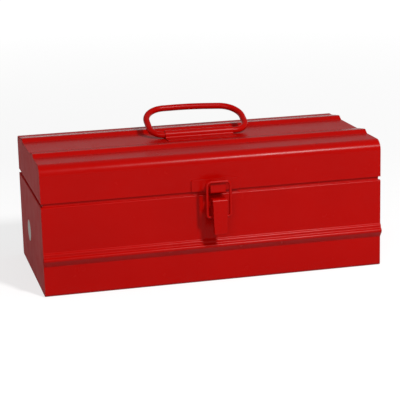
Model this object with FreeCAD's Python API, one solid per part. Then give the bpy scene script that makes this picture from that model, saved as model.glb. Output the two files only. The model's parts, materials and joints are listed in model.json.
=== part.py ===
"""Steel cantilever tool box with one hinged lid, a lifting tray, a loop handle and a draw latch.

Millimetres. X runs along the box, the front faces -Y and Z is up.
The origin is the centre of the flat underside.
"""
import FreeCAD, Part
import math
import os

V = FreeCAD.Vector

# Overall sizes
box_length = 361.0
box_depth = 172.0
body_height = 93.8
lid_gap = 3.7
lid_height = 38.7
sheet = 1.0
cut_overrun = 5.0
shortest_edge = 0.0001

# Body wrap: bends, bead and the lip that the lid closes over
body_bend_radius = 2.0
lip_inset = 2.0
lip_rise = 6.6
lip_bend_radius = 0.95
bead_step_height = 46.2
bead_step_depth = 2.0
bead_peak_height = 39.6
bead_peak_depth = 5.6
bead_foot_height = 32.0
bead_step_run = 1.6
bead_foot_run = 2.2
bead_bend_radius = 2.0
lower_wall_inset = 0.3

# Lid wrap: rolled corners and the two ribs
lid_front_roll_radius = 10.5
lid_back_roll_radius = 8.0
rib_front_gap = 41.0
rib_rear_gap = 15.5
rib_face_run = 5.0
rib_crest_run = 3.0
rib_slope_run = 24.0
rib_height = 3.5
rib_foot_radius = 4.0
rib_crest_radius = 2.2
rib_slope_radius = 12.0

# Pressed end panels
panel_flange = 10.0
panel_edge_chamfer = 0.5
panel_corner_gap = 0.2
lid_flange_lift = 0.3

# Hinge at the rear
hinge_pin_radius = 1.5
hinge_bore_play = 0.05
hinge_leaf_sheet = 1.0
hinge_leaf_width = 16.0
hinge_length = 308.0
hinge_knuckle_count = 9
hinge_knuckle_play = 0.4
hinge_swing_play = 0.5
hinge_pin_overhang = 1.0

# Handle and its bracket
handle_bar_radius = 3.4
handle_lift = 0.3
handle_half_width = 53.5
handle_loop_height = 51.8
handle_bow = 3.3
handle_bow_radius = 324.0
handle_skew = 2.0
handle_upper_bend = 23.4
handle_lower_bend = 15.0
handle_lean = 66.5
handle_side_shift = 8.3
bracket_length = 75.0
bracket_side_shift = 6.3
bracket_sheet = 1.0
bracket_play = 0.2
bracket_bend_radius = 1.8
bracket_foot_gap = 1.0
bracket_rear_share = 0.49
handle_place_share = 0.373

# Draw latch: catch plate with its hook, on the lid
catch_width = 51.0
catch_height = 12.5
catch_lift = 0.1
catch_sheet = 1.2
catch_corner_radius = 2.0
hook_width = 16.0
hook_reach = 12.0
hook_drop = 0.9
hook_tip_height = 15.0
hook_bend_radius = 1.2
hook_neck_height = 5.5

# Draw latch: lever, its base and its pin, on the body
lever_axis_out = 11.0
lever_axis_below_rim = 8.4
lever_front_out = 20.0
lever_top_above_axis = 7.0
lever_length = 37.0
lever_top_width = 15.5
lever_foot_width = 13.3
lever_sheet = 1.0
lever_edge_radius = 1.2
lever_crown_radius = 3.0
lever_top_depth = 8.5
lever_flange_top_depth = 12.5
lever_flange_bail_depth = 9.5
lever_flange_foot_depth = 1.6
lever_waist_below_axis = 17.0
latch_pin_radius = 1.5
latch_pin_play = 0.05
latch_pin_head_radius = 2.4
latch_pin_head = 0.8
latch_pin_head_gap = 0.3
base_width = 10.0
base_sheet = 1.0
base_plate_above_axis = 1.0
base_plate_below_axis = 24.0
base_ear_radius = 3.0
base_ear_drop = 18.0

# Draw latch: wire bail
bail_wire_radius = 1.4
bail_leg_offset = 12.25
bail_axis_out = 13.7
bail_axis_below_lever_axis = 12.5
bail_rise = 36.5
bail_crown_radius = 4.0
bail_foot_radius = 2.6
bail_end_offset = 5.4
bail_hole_play = 0.08

# Cantilever arms, the tray's links to the lid and their studs
arm_sheet = 1.5
link_sheet = 1.2
side_play = 0.25
lip_play = 0.3
tray_side_play = 0.75
arm_droop = 24.0
arm_pass_gap = 2.0
arm_axis_below_rim = 8.4
arm_end_radius = 6.0
arm_waist_width = 10.0
crank_setback = 30.2
crank_reach = 20.8
crank_rise = 12.0
link_end_radius = 4.6
link_waist_width = 7.2
stud_journal_radius = 2.5
stud_bore_play = 0.06
open_bore_play = 0.35
stud_shoulder_radius = 4.0
stud_head_radius = 4.2
stud_head = 1.0
link_stud_head = 0.8

# Tray
tray_front_gap = 9.0
tray_rear_bay = 46.0
tray_rim_gap = 2.4
tray_height = 40.0
tray_front_stud_inset = 18.0
tray_sheet = 0.9
tray_corner_radius = 3.0
tray_hem_height = 6.0
tray_hem_chamfer = 0.5
divider_sheet = 0.8
divider_height = 30.0
divider_foot = 6.0
divider_bend_radius = 0.8
divider_play = 0.3
divider_place_shares = (-0.5, 0.0, 0.5)

# Worked-out places
half_length = box_length / 2
front_face = -box_depth / 2
back_face = box_depth / 2
lid_foot = body_height + lid_gap
lid_top = lid_foot + lid_height
lip_top = body_height + lip_rise
panel_inner = half_length - sheet
lip_inner = half_length - lip_inset - sheet

hinge_knuckle_radius = hinge_pin_radius + hinge_bore_play + hinge_leaf_sheet
hinge_y = back_face + hinge_knuckle_radius
hinge_z = body_height + lid_gap / 2

# The two ribs leave a flat between them, and the handle turns just over it
rib_run = rib_face_run + rib_crest_run + rib_slope_run
front_rib_foot = front_face + rib_front_gap
rear_rib_foot = back_face - rib_rear_gap - rib_run
flat_front = front_rib_foot + rib_run
handle_y = flat_front + (rear_rib_foot - flat_front) * handle_place_share
handle_z = lid_top + handle_lift + handle_bar_radius
bracket_front = flat_front + bracket_foot_gap
bracket_rear = handle_y + (rear_rib_foot - handle_y) * bracket_rear_share

lever_y = front_face - lever_axis_out
lever_z = body_height - lever_axis_below_rim
bail_y = front_face - bail_axis_out
bail_z = lever_z - bail_axis_below_lever_axis

link_head_outer = lip_inner - lip_play
link_head_inner = link_head_outer - link_stud_head
link_outer = link_head_inner - side_play
link_inner = link_outer - link_sheet
arm_outer = link_inner - side_play
arm_inner = arm_outer - arm_sheet
tray_end = arm_inner - side_play - stud_head - tray_side_play

tray_front = front_face + tray_front_gap
tray_back = back_face - tray_rear_bay
tray_top = body_height - tray_rim_gap
tray_floor = tray_top - tray_height

# The arms pass each other in line, so their length leaves room between the eyes
arm_axis_z = body_height - arm_axis_below_rim
rear_axis = (hinge_y - crank_setback, arm_axis_z)
front_stud_y = tray_front + tray_front_stud_inset
arm_room = rear_axis[0] - front_stud_y - 2 * arm_end_radius - arm_pass_gap
arm_length = arm_room / (1 + math.cos(math.radians(arm_droop)))
arm_run = arm_length * math.cos(math.radians(arm_droop))
arm_fall = arm_length * math.sin(math.radians(arm_droop))
front_tray_axis = (front_stud_y, arm_axis_z - arm_fall)
rear_tray_axis = (rear_axis[0] - arm_run, arm_axis_z - arm_fall)
front_axis = (front_tray_axis[0] + arm_run, arm_axis_z)
crank_axis = (rear_axis[0] - crank_reach, rear_axis[1] + crank_rise)
lid_link_axis = (hinge_y - crank_reach, hinge_z + crank_rise)

SIDES = (("left", -1), ("right", 1))


def yz(point, x=0.0):
    return V(x, point[0], point[1])


def xz(point, y=0.0):
    return V(point[0], y, point[1])


def save(name, *solids):
    """Write one sub-part; several separate solids stay separate."""
    shape = solids[0] if len(solids) == 1 else Part.makeCompound(list(solids))
    shape.exportStep(os.path.join("parts", name + ".step"))


def fused(solids):
    """One clean solid from touching or overlapping pieces."""
    return solids[0].fuse(list(solids[1:])).removeSplitter()


def block(x_range, y_range, z_range):
    (x0, x1), (y0, y1), (z0, z1) = x_range, y_range, z_range
    return Part.makeBox(x1 - x0, y1 - y0, z1 - z0, V(x0, y0, z0))


def rod(radius, x_range, centre):
    """Round bar along X, centred on a (y, z) point."""
    x0, x1 = min(x_range), max(x_range)
    return Part.makeCylinder(radius, x1 - x0, yz(centre, x0), V(1, 0, 0))


def unit(a, b):
    length = math.dist(a, b)
    return ((b[0] - a[0]) / length, (b[1] - a[1]) / length)


def bent_side(points, radii, offset):
    """Lines and tangent arcs that run beside a bent centreline, offset to its left."""
    edges = []
    d0 = unit(points[0], points[1])
    start = (points[0][0] - d0[1] * offset, points[0][1] + d0[0] * offset)
    for before, corner, after, radius in zip(points, points[1:], points[2:], radii):
        din, dout = unit(before, corner), unit(corner, after)
        turn = math.atan2(din[0] * dout[1] - din[1] * dout[0], din[0] * dout[0] + din[1] * dout[1])
        tangent = radius * math.tan(abs(turn) / 2)
        side = math.copysign(1, turn)
        foot = (corner[0] - din[0] * tangent, corner[1] - din[1] * tangent)
        centre = (foot[0] - din[1] * radius * side, foot[1] + din[0] * radius * side)
        arc_radius = radius - side * offset
        arc = []
        for share in (0, 1 / 2, 1):
            angle = math.atan2(foot[1] - centre[1], foot[0] - centre[0]) + turn * share
            arc.append((centre[0] + arc_radius * math.cos(angle), centre[1] + arc_radius * math.sin(angle)))
        edges.append(("line", start, arc[0]))
        edges.append(("arc", *arc))
        start = arc[2]
    d1 = unit(points[-2], points[-1])
    end = (points[-1][0] - d1[1] * offset, points[-1][1] + d1[0] * offset)
    edges.append(("line", start, end))
    return edges


def placed_edges(outline, place):
    """FreeCAD edges for an outline of lines and arcs."""
    edges = []
    for kind, *ends in outline:
        ends = [place(point) for point in ends]
        if kind == "arc":
            edges.append(Part.Arc(*ends).toShape())
        elif ends[0].distanceToPoint(ends[1]) > shortest_edge:
            edges.append(Part.LineSegment(*ends).toShape())
    return edges


def drawn_out(outline, place, direction):
    """Solid whose closed outline is drawn out along a direction."""
    return Part.Face(Part.Wire(placed_edges(outline, place))).extrude(direction)


def bent_strip(points, radii, thickness, place, direction):
    """Sheet of one thickness, bent along a centreline and drawn out along a direction."""
    if not isinstance(radii, (list, tuple)):
        radii = [radii] * (len(points) - 2)
    left = bent_side(points, radii, thickness / 2)
    right = bent_side(points, radii, -thickness / 2)
    outline = left + [("line", left[-1][-1], right[-1][-1])]
    outline += [(edge[0], *reversed(edge[1:])) for edge in reversed(right)]
    outline.append(("line", right[0][1], left[0][1]))
    return drawn_out(outline, place, direction)


def rounded_outline(points, radii):
    """Closed outline with one rounded corner per point."""
    count = len(points)
    if not isinstance(radii, (list, tuple)):
        radii = [radii] * count
    feet = []
    for i, (corner, radius) in enumerate(zip(points, radii)):
        din, dout = unit(points[i - 1], corner), unit(corner, points[(i + 1) % count])
        turn = math.atan2(din[0] * dout[1] - din[1] * dout[0], din[0] * dout[0] + din[1] * dout[1])
        tangent = radius * math.tan(abs(turn) / 2)
        first = (corner[0] - din[0] * tangent, corner[1] - din[1] * tangent)
        last = (corner[0] + dout[0] * tangent, corner[1] + dout[1] * tangent)
        reach = radius * (1 / math.cos(turn / 2) - 1)
        inward = unit((0, 0), (dout[0] - din[0], dout[1] - din[1]))
        middle = (corner[0] + inward[0] * reach, corner[1] + inward[1] * reach)
        feet.append((first, middle, last, radius))
    outline = []
    for i, (first, middle, last, radius) in enumerate(feet):
        if radius > 0:
            outline.append(("arc", first, middle, last))
        outline.append(("line", last, feet[(i + 1) % count][0]))
    return outline


def rounded_plate(points, radii, place, direction):
    """Plate with one rounded corner per point of its outline."""
    return drawn_out(rounded_outline(points, radii), place, direction)


def link_plate(a, b, radius_a, radius_b, waist, x_range):
    """Flat bar in a YZ plane with a round eye at each end and a straight waist."""
    x0, x1 = min(x_range), max(x_range)
    along = unit(a, b)
    across = (-along[1] * waist / 2, along[0] * waist / 2)
    corners = [(a[0] + across[0], a[1] + across[1]), (b[0] + across[0], b[1] + across[1]),
               (b[0] - across[0], b[1] - across[1]), (a[0] - across[0], a[1] - across[1])]
    wire = Part.makePolygon([yz(point, x0) for point in corners + corners[:1]])
    bar = Part.Face(wire).extrude(V(x1 - x0, 0, 0))
    return fused([bar, rod(radius_a, (x0, x1), a), rod(radius_b, (x0, x1), b)])


def wire_form(points, radii, wire_radius, place):
    """Round wire bent along straight runs and tangent arcs."""
    path = Part.Wire(placed_edges(bent_side(points, radii, 0), place))
    tangent = place(points[1]) - place(points[0])
    section = Part.Wire(Part.makeCircle(wire_radius, place(points[0]), tangent))
    return path.makePipeShell([section], True, False)


def pressed_panel(outline, inner_outline, side):
    """Pan with its flat outer face flush with the wrap's edge and its flange turned inward."""
    pan = drawn_out(outline, lambda p: yz(p, side * half_length), V(-side * panel_flange, 0, 0))
    rim = [edge for edge in pan.Edges
           if abs(edge.BoundBox.XMin - side * half_length) < sheet / 100
           and abs(edge.BoundBox.XMax - side * half_length) < sheet / 100]
    pan = pan.makeChamfer(panel_edge_chamfer, rim)
    hollow = V(-side * (panel_flange + cut_overrun), 0, 0)
    return pan.cut(drawn_out(inner_outline, lambda p: yz(p, side * panel_inner), hollow))


def body_shell():
    """Front, floor and back in one bent sheet, with the bead in front and a lip at the top."""
    half = sheet / 2
    face = front_face + half
    lower = face + lower_wall_inset
    lip = face + lip_inset
    step = face - bead_step_depth
    peak = face - bead_peak_depth
    rim = body_height - half
    front = [(lip, lip_top), (lip, rim), (face, rim),
             (face, bead_step_height), (step, bead_step_height - bead_step_run),
             (step, bead_peak_height + bead_foot_run), (peak, bead_peak_height),
             (lower, bead_foot_height), (lower, half)]
    back = [(-face, half), (-face, rim), (-lip, rim), (-lip, lip_top)]
    bead = [bead_bend_radius] * 5
    floor_bend = body_bend_radius + half
    radii = [lip_bend_radius] * 2 + bead + [floor_bend] * 2 + [lip_bend_radius] * 2
    shell = bent_strip(front + back, radii, sheet, lambda p: yz(p, -half_length), V(box_length, 0, 0))
    for name, side in SIDES:
        corner = block(sorted((side * lip_inner, side * (half_length + cut_overrun))),
                       (-box_depth, box_depth), (body_height, lip_top + cut_overrun))
        shell = shell.cut(corner)
    return shell


def body_end(side):
    """Pressed end panel with the same lip along its top edge."""
    front = front_face + sheet
    wall = -front
    floor_z = sheet
    half = sheet / 2
    shelf = body_height - half
    rim = body_height - sheet - panel_corner_gap
    lower = front + lower_wall_inset + panel_corner_gap
    step = bead_peak_height
    outline = [(lower, floor_z), (wall, floor_z), (wall, rim), (front, rim), (front, step), (lower, step)]
    corner = body_bend_radius + panel_corner_gap
    rim_corner = lip_bend_radius + panel_corner_gap
    radii = [corner, corner, rim_corner, rim_corner, 0, 0]
    inner = [(lower + sheet, floor_z + sheet), (wall - sheet, floor_z + sheet),
             (wall - sheet, rim + cut_overrun), (lower + sheet, rim + cut_overrun)]
    inner_radii = [corner - sheet, corner - sheet, 0, 0]
    pan = pressed_panel(rounded_outline(outline, radii), rounded_outline(inner, inner_radii), side)
    lip_x = half_length - lip_inset - half
    wall_x = half_length - half
    profile = [(side * wall_x, rim - lip_bend_radius), (side * wall_x, shelf),
               (side * lip_x, shelf), (side * lip_x, lip_top)]
    shelf_front = front_face + lip_inset + sheet
    strip = bent_strip(profile, lip_bend_radius, sheet, lambda p: xz(p, shelf_front),
                       V(0, -2 * shelf_front, 0))
    lip_front = front_face + lip_inset
    lip_band = block(sorted((side * lip_inner, side * (lip_inner + sheet))),
                     (lip_front, -lip_front), (body_height, lip_top))
    return fused([pan, strip, lip_band])


def lid_outline():
    """Centreline of the lid's wrap from the front edge over the ribs to the back edge.

    Each rib has a steep face in front and a long slope behind.
    """
    half = sheet / 2
    face = front_face + half
    top = lid_top - half
    crest = top + rib_height
    path = [(face, lid_foot), (face, top)]
    radii = [lid_front_roll_radius - half]
    for foot in (front_rib_foot, rear_rib_foot):
        crest_front = foot + rib_face_run
        crest_back = crest_front + rib_crest_run
        path += [(foot, top), (crest_front, crest), (crest_back, crest), (crest_back + rib_slope_run, top)]
        radii += [rib_foot_radius, rib_crest_radius, rib_slope_radius, rib_slope_radius]
    path += [(-face, top), (-face, lid_foot)]
    radii.append(lid_back_roll_radius - half)
    return path, radii


def lid_shell():
    path, radii = lid_outline()
    return bent_strip(path, radii, sheet, lambda p: yz(p, -half_length), V(box_length, 0, 0))


def lid_end(side):
    """Pressed end panel that follows the wrap's inner side, with a flange that clears the body's lip."""
    path, radii = lid_outline()
    outline = bent_side(path, radii, -sheet / 2)
    outline.append(("line", outline[-1][-1], outline[0][1]))
    lowered = [(path[0][0], lid_foot - cut_overrun), *path[1:-1], (path[-1][0], lid_foot - cut_overrun)]
    inner = bent_side(lowered, radii, -sheet / 2 - sheet)
    inner.append(("line", inner[-1][-1], inner[0][1]))
    panel = pressed_panel(outline, inner, side)
    mouth = block(sorted((0, side * panel_inner)), (front_face, -front_face),
                  (lid_foot - cut_overrun, lip_top + lid_flange_lift))
    return panel.cut(mouth)


def hinge_bands(first):
    """X ranges of every other knuckle, starting with the first or the second one."""
    pitch = hinge_length / hinge_knuckle_count
    start = -hinge_length / 2
    return [(start + i * pitch + hinge_knuckle_play / 2, start + (i + 1) * pitch - hinge_knuckle_play / 2)
            for i in range(first, hinge_knuckle_count, 2)]


def hinge_leaf(up, own, other):
    """Leaf on the back face whose edge is rolled into knuckles round the pin."""
    inner = back_face
    outer = back_face + hinge_leaf_sheet
    far = hinge_z + up * (hinge_knuckle_radius + hinge_leaf_width)
    sheet_range = sorted((hinge_z, far))
    leaf = block((-hinge_length / 2, hinge_length / 2), (inner, outer), sheet_range)
    axis = (hinge_y, hinge_z)
    for band in other:
        gap = (band[0] - hinge_knuckle_play, band[1] + hinge_knuckle_play)
        reach = sorted((hinge_z - up * cut_overrun, hinge_z + up * (hinge_knuckle_radius + hinge_swing_play)))
        leaf = leaf.cut(block(gap, (inner - cut_overrun, outer + cut_overrun), reach))
    leaf = fused([leaf] + [rod(hinge_knuckle_radius, band, axis) for band in own])
    ends = (-hinge_length / 2 - cut_overrun, hinge_length / 2 + cut_overrun)
    for end in (ends[0], hinge_length / 2 - hinge_knuckle_play / 2):
        trim = (end, end + cut_overrun + hinge_knuckle_play / 2)
        near = sorted((hinge_z - up * cut_overrun, hinge_z + up * hinge_knuckle_radius))
        leaf = leaf.cut(block(trim, (inner - cut_overrun, outer + box_depth), near))
    return leaf.cut(rod(hinge_pin_radius + hinge_bore_play, ends, axis))


def hinge_pin():
    reach = hinge_length / 2 + hinge_pin_overhang
    pin = rod(hinge_pin_radius, (-reach, reach), (hinge_y, hinge_z))
    return pin.makeChamfer(hinge_pin_radius / 3, [edge for edge in pin.Edges if edge.Closed])


def lean(point):
    """Place a handle point (across, up) in the leaning plane of the loop."""
    angle = math.radians(handle_lean)
    return V(handle_side_shift + point[0],
             handle_y + point[1] * math.sin(angle), handle_z + point[1] * math.cos(angle))


def handle_loop():
    """Closed loop of round bar whose lower run turns in the bracket.

    The grip is slightly bowed, and a little higher at its left end than at its right.
    """
    half = handle_half_width
    shoulder = handle_loop_height - handle_bow
    middle = (handle_lower_bend + shoulder - handle_upper_bend) / 2
    upper = [(-half, middle), (-half, shoulder + handle_skew), (0, handle_loop_height),
             (half, shoulder - handle_skew), (half, middle)]
    lower = [(half, middle), (half, 0), (-half, 0), (-half, middle)]
    upper_bends = [handle_upper_bend, handle_bow_radius, handle_upper_bend]
    return fused([wire_form(upper, upper_bends, handle_bar_radius, lean),
                  wire_form(lower, [handle_lower_bend] * 2, handle_bar_radius, lean)])


def handle_bracket():
    """Strap over the handle's lower run, with a flat foot on the lid in front and behind."""
    half = bracket_sheet / 2
    arch = handle_bar_radius + bracket_play + half
    foot = lid_top + half
    crown = handle_z + arch
    left = bracket_side_shift - bracket_length / 2
    path = [(bracket_front, foot), (handle_y - arch, foot), (handle_y - arch, crown),
            (handle_y + arch, crown), (handle_y + arch, foot), (bracket_rear, foot)]
    bend = bracket_bend_radius + half
    radii = [bend, arch, arch, bend]
    return bent_strip(path, radii, bracket_sheet, lambda p: yz(p, left), V(bracket_length, 0, 0))


def catch_plate():
    """Plate on the lid's front with a hook tongue bent out and up from its lower edge."""
    bottom = lid_foot + catch_lift
    top = bottom + catch_height
    half = catch_sheet / 2
    half_width = catch_width / 2
    back = front_face
    plate = rounded_plate([(-half_width, bottom), (half_width, bottom), (half_width, top), (-half_width, top)],
                          catch_corner_radius, lambda p: xz(p, back), V(0, -catch_sheet, 0))
    relief = hook_width / 2 + catch_sheet
    slot = block((-relief, relief), (back - catch_sheet - cut_overrun, back + cut_overrun),
                 (bottom - cut_overrun, bottom + hook_neck_height))
    plate = plate.cut(slot)
    centre = back - half
    under = lid_foot - hook_drop + half
    tip = front_face - hook_reach + half
    tip_top = under - half + hook_tip_height
    hook = bent_strip([(centre, bottom + hook_neck_height), (centre, under), (tip, under), (tip, tip_top)],
                      hook_bend_radius + half, catch_sheet,
                      lambda p: yz(p, -hook_width / 2), V(hook_width, 0, 0))
    edges = [edge for edge in hook.Edges
             if edge.BoundBox.ZMin > tip_top - sheet / 10 and edge.BoundBox.XLength < sheet / 10]
    hook = hook.makeFillet(catch_corner_radius, edges)
    return fused([plate, hook])


def lever_half_width(z):
    """Half width of the tapered lever at a height."""
    top = lever_z + lever_top_above_axis
    share = (top - z) / lever_length
    return (lever_top_width + (lever_foot_width - lever_top_width) * share) / 2


def latch_lever():
    """Tapered channel: a web with a curled top in front, and flanges that run out towards the foot."""
    top = lever_z + lever_top_above_axis
    foot = top - lever_length
    face = front_face - lever_front_out
    waist = lever_z - lever_waist_below_axis
    side_view = [(face, foot), (face, top), (face + lever_flange_top_depth, top),
                 (face + lever_flange_top_depth, lever_z - latch_pin_head_radius),
                 (face + lever_flange_bail_depth, waist), (face + lever_flange_foot_depth, foot)]
    half_width = lever_top_width / 2
    radii = [lever_edge_radius / 2, lever_crown_radius, lever_edge_radius, 0, lever_crown_radius, 0]
    solid = rounded_plate(side_view, radii, lambda p: yz(p, -half_width), V(2 * half_width, 0, 0))
    hollow_view = [(face + lever_sheet, foot - cut_overrun), (face + lever_sheet, top - lever_sheet),
                   (face + lever_flange_top_depth + cut_overrun, top - lever_sheet),
                   (face + lever_flange_top_depth + cut_overrun, foot - cut_overrun)]
    front_view = [(-lever_half_width(foot), foot), (lever_half_width(foot), foot),
                  (lever_half_width(top), top), (-lever_half_width(top), top)]
    taper = rounded_plate(front_view, lever_edge_radius, lambda p: xz(p, face - cut_overrun),
                          V(0, lever_front_out + cut_overrun, 0))
    solid = solid.common(taper)
    inner_view = [(-lever_half_width(foot) + lever_sheet, foot - cut_overrun),
                  (lever_half_width(foot) - lever_sheet, foot - cut_overrun),
                  (lever_half_width(top) - lever_sheet, top + cut_overrun),
                  (-lever_half_width(top) + lever_sheet, top + cut_overrun)]
    hollow = rounded_plate(hollow_view, [0, lever_crown_radius - lever_sheet, 0, 0],
                           lambda p: yz(p, -half_width), V(2 * half_width, 0, 0))
    open_top = block((-half_width, half_width), (face + lever_top_depth, front_face),
                     (foot, top + cut_overrun))
    hollow = hollow.fuse(open_top)
    hollow = hollow.common(rounded_plate(inner_view, 0, lambda p: xz(p, face),
                                         V(0, lever_front_out + cut_overrun, 0)))
    lever = solid.cut(hollow)
    ends = (-half_width - cut_overrun, half_width + cut_overrun)
    lever = lever.cut(rod(latch_pin_radius + latch_pin_play, ends, (lever_y, lever_z)))
    return lever.cut(rod(bail_wire_radius + bail_hole_play, ends, (bail_y, bail_z)))


def latch_base():
    """Folded bracket behind the lever: a plate on the body and two ears for the pin."""
    outer = front_face
    half = base_width / 2
    plate_low = lever_z - base_plate_below_axis
    plate_top = lever_z + base_plate_above_axis
    plate = rounded_plate([(-half, plate_low), (half, plate_low), (half, plate_top), (-half, plate_top)],
                          0, lambda p: xz(p, outer), V(0, -base_sheet, 0))
    axis = (lever_y, lever_z)
    root = (outer, lever_z - base_ear_drop)
    inside = block((-half, half), (outer, outer + cut_overrun), (plate_low - cut_overrun, plate_top))
    pieces = [plate]
    for side in (-1, 1):
        ear = link_plate(axis, root, base_ear_radius, base_ear_radius, 2 * base_ear_radius,
                         (side * half, side * (half - base_sheet)))
        pieces.append(ear.cut(inside))
    base = fused(pieces)
    return base.cut(rod(latch_pin_radius, (-half - cut_overrun, half + cut_overrun), axis))


def latch_pin():
    """Headed pin through the lever's flanges and the base's ears."""
    inner = lever_half_width(lever_z) + latch_pin_head_gap
    outer = inner + latch_pin_head
    axis = (lever_y, lever_z)
    pieces = [rod(latch_pin_radius, (-outer, outer), axis)]
    for side in (-1, 1):
        pieces.append(rod(latch_pin_head_radius, (side * inner, side * outer), axis))
    return fused(pieces)


def latch_bail():
    """Wire bail: a crossbar over two legs whose ends turn into the lever's flanges."""
    top = bail_z + bail_rise
    points = [(-bail_end_offset, bail_z), (-bail_leg_offset, bail_z), (-bail_leg_offset, top),
              (bail_leg_offset, top), (bail_leg_offset, bail_z), (bail_end_offset, bail_z)]
    radii = [bail_foot_radius, bail_crown_radius, bail_crown_radius, bail_foot_radius]
    return wire_form(points, radii, bail_wire_radius, lambda p: xz(p, bail_y))


def shouldered_stud(axis, side, root, seat, tip):
    """Stud along X: a shoulder from its root to the seat, a journal and a head at the tip."""
    direction = math.copysign(1, tip - seat)
    head_start = tip - direction * stud_head
    pieces = [rod(stud_shoulder_radius, (side * root, side * seat), axis),
              rod(stud_journal_radius, (side * seat, side * tip), axis),
              rod(stud_head_radius, (side * head_start, side * tip), axis)]
    return fused(pieces)


def body_pivot_studs():
    """Studs on the inner faces of the end panels that carry the four arms."""
    seat = arm_outer + side_play
    tip = arm_inner - side_play - stud_head
    return [shouldered_stud(axis, side, panel_inner, seat, tip)
            for name, side in SIDES for axis in (front_axis, rear_axis)]


def tray_studs():
    """Studs on the tray's ends; their heads lie outside the arms."""
    seat = arm_inner - side_play
    tip = arm_outer + side_play + stud_head
    return [shouldered_stud(axis, side, tray_end, seat, tip)
            for name, side in SIDES for axis in (front_tray_axis, rear_tray_axis)]


def lid_link_studs():
    """Studs on the lid's end panels that carry the links."""
    seat = link_outer + side_play
    tip = link_inner - side_play - stud_head
    return [shouldered_stud(lid_link_axis, side, panel_inner, seat, tip) for name, side in SIDES]


def link_stud(side):
    """Stud on the rear arm's crank end, through the link's lower eye."""
    journal = rod(stud_journal_radius, (side * arm_outer, side * link_head_outer), crank_axis)
    head = rod(stud_head_radius, (side * link_head_inner, side * link_head_outer), crank_axis)
    return fused([journal, head])


def bored(solid, holes):
    """Cut (axis, radius) holes along X right through a plate."""
    reach = (-half_length - cut_overrun, half_length + cut_overrun)
    for axis, radius in holes:
        solid = solid.cut(rod(radius, reach, axis))
    return solid


def front_arm(side):
    plate = link_plate(front_axis, front_tray_axis, arm_end_radius, arm_end_radius,
                       arm_waist_width, (side * arm_inner, side * arm_outer))
    return bored(plate, [(front_axis, stud_journal_radius + stud_bore_play),
                         (front_tray_axis, stud_journal_radius + open_bore_play)])


def rear_arm(side):
    """Bell-crank arm: the long leg carries the tray and the short leg takes the lid's link."""
    faces = (side * arm_inner, side * arm_outer)
    leg = link_plate(rear_axis, rear_tray_axis, arm_end_radius, arm_end_radius, arm_waist_width, faces)
    crank = link_plate(rear_axis, crank_axis, arm_end_radius, arm_end_radius, arm_waist_width, faces)
    play = stud_bore_play if side < 0 else open_bore_play
    return bored(fused([leg, crank]), [(rear_axis, stud_journal_radius + stud_bore_play),
                                       (rear_tray_axis, stud_journal_radius + play)])


def lid_link(side):
    plate = link_plate(lid_link_axis, crank_axis, link_end_radius, link_end_radius,
                       link_waist_width, (side * link_inner, side * link_outer))
    return bored(plate, [(lid_link_axis, stud_journal_radius + stud_bore_play),
                         (crank_axis, stud_journal_radius + open_bore_play)])


def rounded_tub(length, y_range, z_range, radius):
    """Open-topped block with rounded upright and lower edges."""
    tub = block((-length, length), y_range, z_range)
    top = z_range[1]
    edges = [edge for edge in tub.Edges if edge.BoundBox.ZMin < top - radius]
    return tub.makeFillet(radius, edges)


def tray_pan():
    """Drawn tray with a folded hem round its rim."""
    top = tray_top
    outer = rounded_tub(tray_end, (tray_front, tray_back), (tray_floor, top), tray_corner_radius)
    inner = rounded_tub(tray_end - tray_sheet, (tray_front + tray_sheet, tray_back - tray_sheet),
                        (tray_floor + tray_sheet, top + cut_overrun), tray_corner_radius - tray_sheet)
    hem_sheet = 2 * tray_sheet
    band = block((-half_length, half_length), (-box_depth, box_depth), (top - tray_hem_height, top))
    hem_inner = rounded_tub(tray_end - hem_sheet, (tray_front + hem_sheet, tray_back - hem_sheet),
                            (tray_floor, top + cut_overrun), tray_corner_radius - tray_sheet)
    hem = outer.common(band).cut(hem_inner)
    rim = [edge for edge in hem.Edges if edge.BoundBox.ZMin > top - sheet / 100]
    hem = hem.makeChamfer(tray_hem_chamfer, rim)
    pan = outer.cut(inner).cut(band)
    return fused([pan, hem])


def tray_dividers():
    """Bent cross dividers, each with a foot on the tray's floor."""
    front = tray_front + tray_sheet + divider_play
    back = tray_back - tray_sheet - divider_play
    floor_z = tray_floor + tray_sheet + divider_sheet / 2
    corner = tray_corner_radius
    dividers = []
    for share in divider_place_shares:
        x = share * tray_end
        strip = bent_strip([(x + divider_foot, floor_z), (x, floor_z), (x, tray_floor + divider_height)],
                           divider_bend_radius + divider_sheet / 2, divider_sheet,
                           lambda p: xz(p, front), V(0, back - front, 0))
        outline = [(front, tray_floor + tray_sheet), (back, tray_floor + tray_sheet),
                   (back, tray_floor + divider_height), (front, tray_floor + divider_height)]
        trim = rounded_plate(outline, [corner, corner, corner, corner],
                             lambda p: yz(p, x - divider_foot), V(3 * divider_foot, 0, 0))
        dividers.append(strip.common(trim))
    return dividers


def main():
    os.makedirs("parts", exist_ok=True)
    save("body_shell", body_shell())
    save("lid_shell", lid_shell())
    for name, side in SIDES:
        save("body_end_" + name, body_end(side))
        save("lid_end_" + name, lid_end(side))
        save("front_arm_" + name, front_arm(side))
        save("rear_arm_" + name, rear_arm(side))
        save("lid_link_" + name, lid_link(side))
        save("link_stud_" + name, link_stud(side))
    save("hinge_leaf_body", hinge_leaf(-1, hinge_bands(0), hinge_bands(1)))
    save("hinge_leaf_lid", hinge_leaf(1, hinge_bands(1), hinge_bands(0)))
    save("hinge_pin", hinge_pin())
    save("body_pivot_studs", *body_pivot_studs())
    save("tray_studs", *tray_studs())
    save("lid_link_studs", *lid_link_studs())
    save("tray_pan", tray_pan())
    save("tray_dividers", *tray_dividers())
    save("handle_loop", handle_loop())
    save("handle_bracket", handle_bracket())
    save("catch_plate", catch_plate())
    save("latch_base", latch_base())
    save("latch_pin", latch_pin())
    save("latch_lever", latch_lever())
    save("latch_bail", latch_bail())


main()
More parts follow.
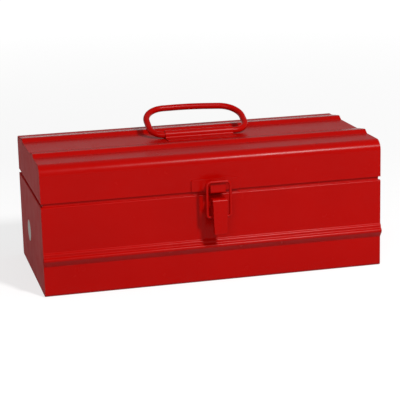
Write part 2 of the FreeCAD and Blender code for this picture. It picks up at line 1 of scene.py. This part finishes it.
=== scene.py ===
"""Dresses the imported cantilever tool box: paint, plated steel, studio and camera.

Metres, in the row's frame: X along the box, the front faces -Y and Z is up.
"""
import json
import math

import bpy
from mathutils import Matrix, Vector

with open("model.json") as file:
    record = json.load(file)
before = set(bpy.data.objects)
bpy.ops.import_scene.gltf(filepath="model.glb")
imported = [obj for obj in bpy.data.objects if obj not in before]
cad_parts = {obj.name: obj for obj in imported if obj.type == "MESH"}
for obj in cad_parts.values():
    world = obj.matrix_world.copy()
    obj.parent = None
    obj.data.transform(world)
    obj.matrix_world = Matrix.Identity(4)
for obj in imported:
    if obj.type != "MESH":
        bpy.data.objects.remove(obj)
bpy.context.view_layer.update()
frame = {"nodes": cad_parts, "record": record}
nodes = frame["nodes"]

# Camera, solved from the straight edges of the box in the photograph
CAMERA_PLACE = Vector((-0.35673, -1.47738, 0.44881))
CAMERA_RIGHT = Vector((0.96961, -0.24344, -0.02451))
CAMERA_AHEAD = Vector((0.23035, 0.94203, -0.24394))
SENSOR_WIDTH = 36.0
FOCAL_PIXELS = 1438.7
IMAGE_WIDTH = 400
CLIP_END = 50.0

# Floor, whose lift towards white grows between two distances from the box
FLOOR_SIZE = 24.0
FLOOR_GREY = 0.4
NEAR_LIFT = 0.68
FAR_LIFT = 0.98
LIFT_START = 0.6
LIFT_END = 3.2

# World and lamps
WORLD_GREY = 0.3
KEY_PLACE = Vector((0.70, -1.60, 1.60))
KEY_SIZE = (0.25, 0.4)
KEY_RADIANCE = 127.0
FILL_PLACE = Vector((-0.85, -2.15, 0.95))
FILL_SIZE = (1.3, 0.8)
FILL_RADIANCE = 4.8
LAMP_AIM = Vector((0.0, 0.0, 0.08))

# Red enamel, glossy on the wraps and fittings and duller on the pressed ends
PAINT_RED = (0.39, 0.0012, 0.0003)
PAINT_SHADES = (0.95, 1.05)
PAINT_ROUGHNESS = 0.24
END_ROUGHNESS = 0.5
SMOOTHER_BY = 0.03
ROUGHER_BY = 0.04
PAINT_SPECULAR = 0.08
END_SPECULAR = 0.02
PEEL_STRENGTH = 0.12
PEEL_DEPTH = 0.00008

# Cut edges at the ends of the wraps: how far out they begin and how dull they are
CUT_EDGE = 0.1804
CUT_ROUGHNESS = 0.6

# Paper label, a ball squeezed along X to a thin disc so that it shows on the outside only
LABEL_PALE = (0.72, 0.66, 0.62)
LABEL_SHADES = (0.96, 1.04)
LABEL_ROUGHNESS = 0.6
LABEL_CENTRE = Vector((-0.1805, 0.0205, 0.0436))
LABEL_RADIUS = 0.0115
LABEL_SQUEEZE = Vector((30.0, 1.0, 1.0))

# Zinc plate
PLATE_GREY = (0.62, 0.63, 0.65)
PLATE_SHADES = (0.86, 1.06)
PLATE_ROUGHNESS = (0.28, 0.46)
GRAIN_STRETCH = (1.0, 18.0, 1.0)
SCRATCH_STRENGTH = 0.15
SCRATCH_DEPTH = 0.00005

# Rounding of the sheet's sharp edges, in the shading
EDGE_RADIUS = 0.0003
EDGE_SAMPLES = 6

# Noises, as scale and detail, and the range that holds most of their values
COLOUR_DRIFT = (9.0, 3.0)
GLOSS_DRIFT = (60.0, 4.0)
ORANGE_PEEL = (420.0, 2.0)
PAPER_FIBRE = (700.0, 3.0)
PLATE_CLOUD = (45.0, 3.0)
PLATE_GRAIN = (260.0, 4.0)
NOISE_LOW = 0.3
NOISE_HIGH = 0.7

# Sockets of the mix node for colours, by number because their names repeat
MIX_FACTOR = 0
MIX_FIRST = 6
MIX_SECOND = 7
MIX_RESULT = 2


class Nodes:
    """Short way to add and join the nodes of one material."""

    def __init__(self, name):
        self.material = bpy.data.materials.new(name)
        self.material.use_nodes = True
        self.tree = self.material.node_tree
        self.shader = self.tree.nodes["Principled BSDF"]

    def fill(self, node, inputs):
        """Join a node's inputs to sockets, or set them to constants."""
        for key, value in inputs.items():
            if isinstance(value, bpy.types.NodeSocket):
                self.tree.links.new(value, node.inputs[key])
            else:
                node.inputs[key].default_value = value

    def add(self, kind, inputs, **settings):
        node = self.tree.nodes.new(kind)
        for key, value in settings.items():
            setattr(node, key, value)
        self.fill(node, inputs)
        return node

    def finish(self, inputs):
        """Fill the shader's own inputs and give the material."""
        self.fill(self.shader, inputs)
        return self.material

    def place(self):
        return self.add("ShaderNodeTexCoord", {}).outputs["Object"]

    def calculate(self, operation, *values):
        return self.add("ShaderNodeMath", dict(enumerate(values)), operation=operation).outputs["Value"]

    def length(self, vector):
        return self.add("ShaderNodeVectorMath", {0: vector}, operation="LENGTH").outputs["Value"]

    def blend(self, factor, first, second):
        """Mix two colours."""
        node = self.add("ShaderNodeMix", {MIX_FACTOR: factor, MIX_FIRST: first, MIX_SECOND: second},
                        data_type="RGBA")
        return node.outputs[MIX_RESULT]

    def remap(self, value, low, high, start=0.0, end=1.0):
        """Take a value that runs from start to end to one that runs from low to high."""
        node = self.add("ShaderNodeMapRange",
                        {"Value": value, "From Min": start, "From Max": end, "To Min": low, "To Max": high})
        return node.outputs["Result"]

    def noise(self, kind, place=None):
        scale, detail = kind
        if place is None:
            place = self.place()
        node = self.add("ShaderNodeTexNoise", {"Vector": place, "Scale": scale, "Detail": detail})
        return node.outputs["Fac"]

    def spread(self, noise, low, high):
        """Take a noise to a range of numbers."""
        return self.remap(noise, low, high, NOISE_LOW, NOISE_HIGH)

    def mottled(self, kind, colour, shades):
        """Colour that drifts with a noise between two shades of itself."""
        dark, pale = ((*(channel * factor for channel in colour), 1.0) for factor in shades)
        return self.blend(self.spread(self.noise(kind), 0.0, 1.0), dark, pale)

    def relief(self, height, strength, depth):
        """Normal of a fine relief on sheet whose sharp edges are rounded, so that they catch the light."""
        rounded = self.add("ShaderNodeBevel", {"Radius": EDGE_RADIUS}, samples=EDGE_SAMPLES)
        node = self.add("ShaderNodeBump", {"Strength": strength, "Distance": depth, "Height": height,
                                           "Normal": rounded.outputs["Normal"]})
        return node.outputs["Normal"]


def cut_edge_mask(made):
    """One on the cut edges at the ends of the wraps, nought elsewhere."""
    across = made.add("ShaderNodeSeparateXYZ", {"Vector": made.place()}).outputs["X"]
    return made.calculate("GREATER_THAN", made.calculate("ABSOLUTE", across), CUT_EDGE)


def label_mask(made):
    """One on the label, nought elsewhere."""
    squeezed = made.add("ShaderNodeMapping",
                        {"Vector": made.place(), "Location": -LABEL_CENTRE * LABEL_SQUEEZE,
                         "Scale": LABEL_SQUEEZE})
    return made.calculate("LESS_THAN", made.length(squeezed.outputs["Vector"]), LABEL_RADIUS)


def paint(name, roughness, specular, cut_edges=False, label=False):
    """Enamel with faint orange peel, slightly uneven in colour and gloss."""
    made = Nodes(name)
    colour = made.mottled(COLOUR_DRIFT, PAINT_RED, PAINT_SHADES)
    gloss = made.spread(made.noise(GLOSS_DRIFT), roughness - SMOOTHER_BY, roughness + ROUGHER_BY)
    if cut_edges:
        gloss = made.remap(cut_edge_mask(made), gloss, CUT_ROUGHNESS)
    if label:
        inside = label_mask(made)
        colour = made.blend(inside, colour, made.mottled(PAPER_FIBRE, LABEL_PALE, LABEL_SHADES))
        gloss = made.remap(inside, gloss, LABEL_ROUGHNESS)
    peel = made.relief(made.noise(ORANGE_PEEL), PEEL_STRENGTH, PEEL_DEPTH)
    return made.finish({"Base Color": colour, "Roughness": gloss, "Normal": peel,
                        "Specular IOR Level": specular})


def plated(name):
    """Zinc-plated steel with fine drawn grain and a cloudy colour."""
    made = Nodes(name)
    stretched = made.add("ShaderNodeMapping", {"Vector": made.place(), "Scale": GRAIN_STRETCH})
    grain = made.noise(PLATE_GRAIN, stretched.outputs["Vector"])
    colour = made.mottled(PLATE_CLOUD, PLATE_GREY, PLATE_SHADES)
    gloss = made.spread(grain, *PLATE_ROUGHNESS)
    scratches = made.relief(grain, SCRATCH_STRENGTH, SCRATCH_DEPTH)
    return made.finish({"Base Color": colour, "Roughness": gloss, "Normal": scratches, "Metallic": 1.0})


def dress():
    """Give every CAD node its finish."""
    red = paint("red_enamel", PAINT_ROUGHNESS, PAINT_SPECULAR, cut_edges=True)
    red_end = paint("red_enamel_end", END_ROUGHNESS, END_SPECULAR)
    red_with_label = paint("red_enamel_label", END_ROUGHNESS, END_SPECULAR, label=True)
    plate = plated("zinc_plate")
    slots = {part["node"]: part["material_slot"] for part in frame["record"]["subparts"]}
    for name, piece in nodes.items():
        material = red if slots[name] == "red_paint" else plate
        if name.startswith(("body_end", "lid_end")):
            material = red_with_label if name == "body_end_left" else red_end
        piece.data.materials.clear()
        piece.data.materials.append(material)


def lamp(name, place, size, radiance):
    """Rectangular soft box of a given radiance, turned towards the box."""
    data = bpy.data.lights.new(name, "AREA")
    data.shape = "RECTANGLE"
    data.size, data.size_y = size
    data.energy = radiance * math.pi * size[0] * size[1]
    piece = bpy.data.objects.new(name, data)
    piece.location = place
    piece.rotation_mode = "QUATERNION"
    piece.rotation_quaternion = (LAMP_AIM - place).to_track_quat("-Z", "Y")
    bpy.context.scene.collection.objects.link(piece)


def floor():
    """Large pale floor that camera, glossy and transmission rays see lifted towards white."""
    half = FLOOR_SIZE / 2
    mesh = bpy.data.meshes.new("floor")
    corners = [(-half, -half, 0), (half, -half, 0), (half, half, 0), (-half, half, 0)]
    mesh.from_pydata(corners, [], [(0, 1, 2, 3)])
    piece = bpy.data.objects.new("floor", mesh)
    bpy.context.scene.collection.objects.link(piece)
    made = Nodes("floor_paper")
    rays = made.add("ShaderNodeLightPath", {}).outputs
    seen = made.calculate("MAXIMUM", rays["Is Camera Ray"], rays["Is Glossy Ray"])
    seen = made.calculate("MAXIMUM", seen, rays["Is Transmission Ray"])
    lift = made.remap(made.length(made.place()), NEAR_LIFT, FAR_LIFT, LIFT_START, LIFT_END)
    mesh.materials.append(made.finish({
        "Base Color": (FLOOR_GREY, FLOOR_GREY, FLOOR_GREY, 1.0),
        "Roughness": 1.0,
        "Specular IOR Level": 0.0,
        "Emission Color": (1.0, 1.0, 1.0, 1.0),
        "Emission Strength": made.calculate("MULTIPLY", seen, lift),
    }))


def studio():
    """Grey world, two lamps and the floor."""
    scene = bpy.context.scene
    world = bpy.data.worlds.new("studio")
    world.use_nodes = True
    background = world.node_tree.nodes["Background"]
    background.inputs["Color"].default_value = (WORLD_GREY, WORLD_GREY, WORLD_GREY, 1.0)
    background.inputs["Strength"].default_value = 1.0
    scene.world = world
    lamp("key", KEY_PLACE, KEY_SIZE, KEY_RADIANCE)
    lamp("fill", FILL_PLACE, FILL_SIZE, FILL_RADIANCE)
    floor()
    scene.view_settings.view_transform = "Standard"


def camera():
    """Camera of the photograph."""
    data = bpy.data.cameras.new("camera")
    data.sensor_width = SENSOR_WIDTH
    data.lens = SENSOR_WIDTH * FOCAL_PIXELS / IMAGE_WIDTH
    data.clip_end = CLIP_END
    piece = bpy.data.objects.new("camera", data)
    up = CAMERA_RIGHT.cross(CAMERA_AHEAD)
    turn = Matrix((CAMERA_RIGHT, up, -CAMERA_AHEAD)).transposed()
    piece.matrix_world = Matrix.Translation(CAMERA_PLACE) @ turn.to_4x4()
    bpy.context.scene.collection.objects.link(piece)
    bpy.context.scene.camera = piece


camera()
studio()
dress()
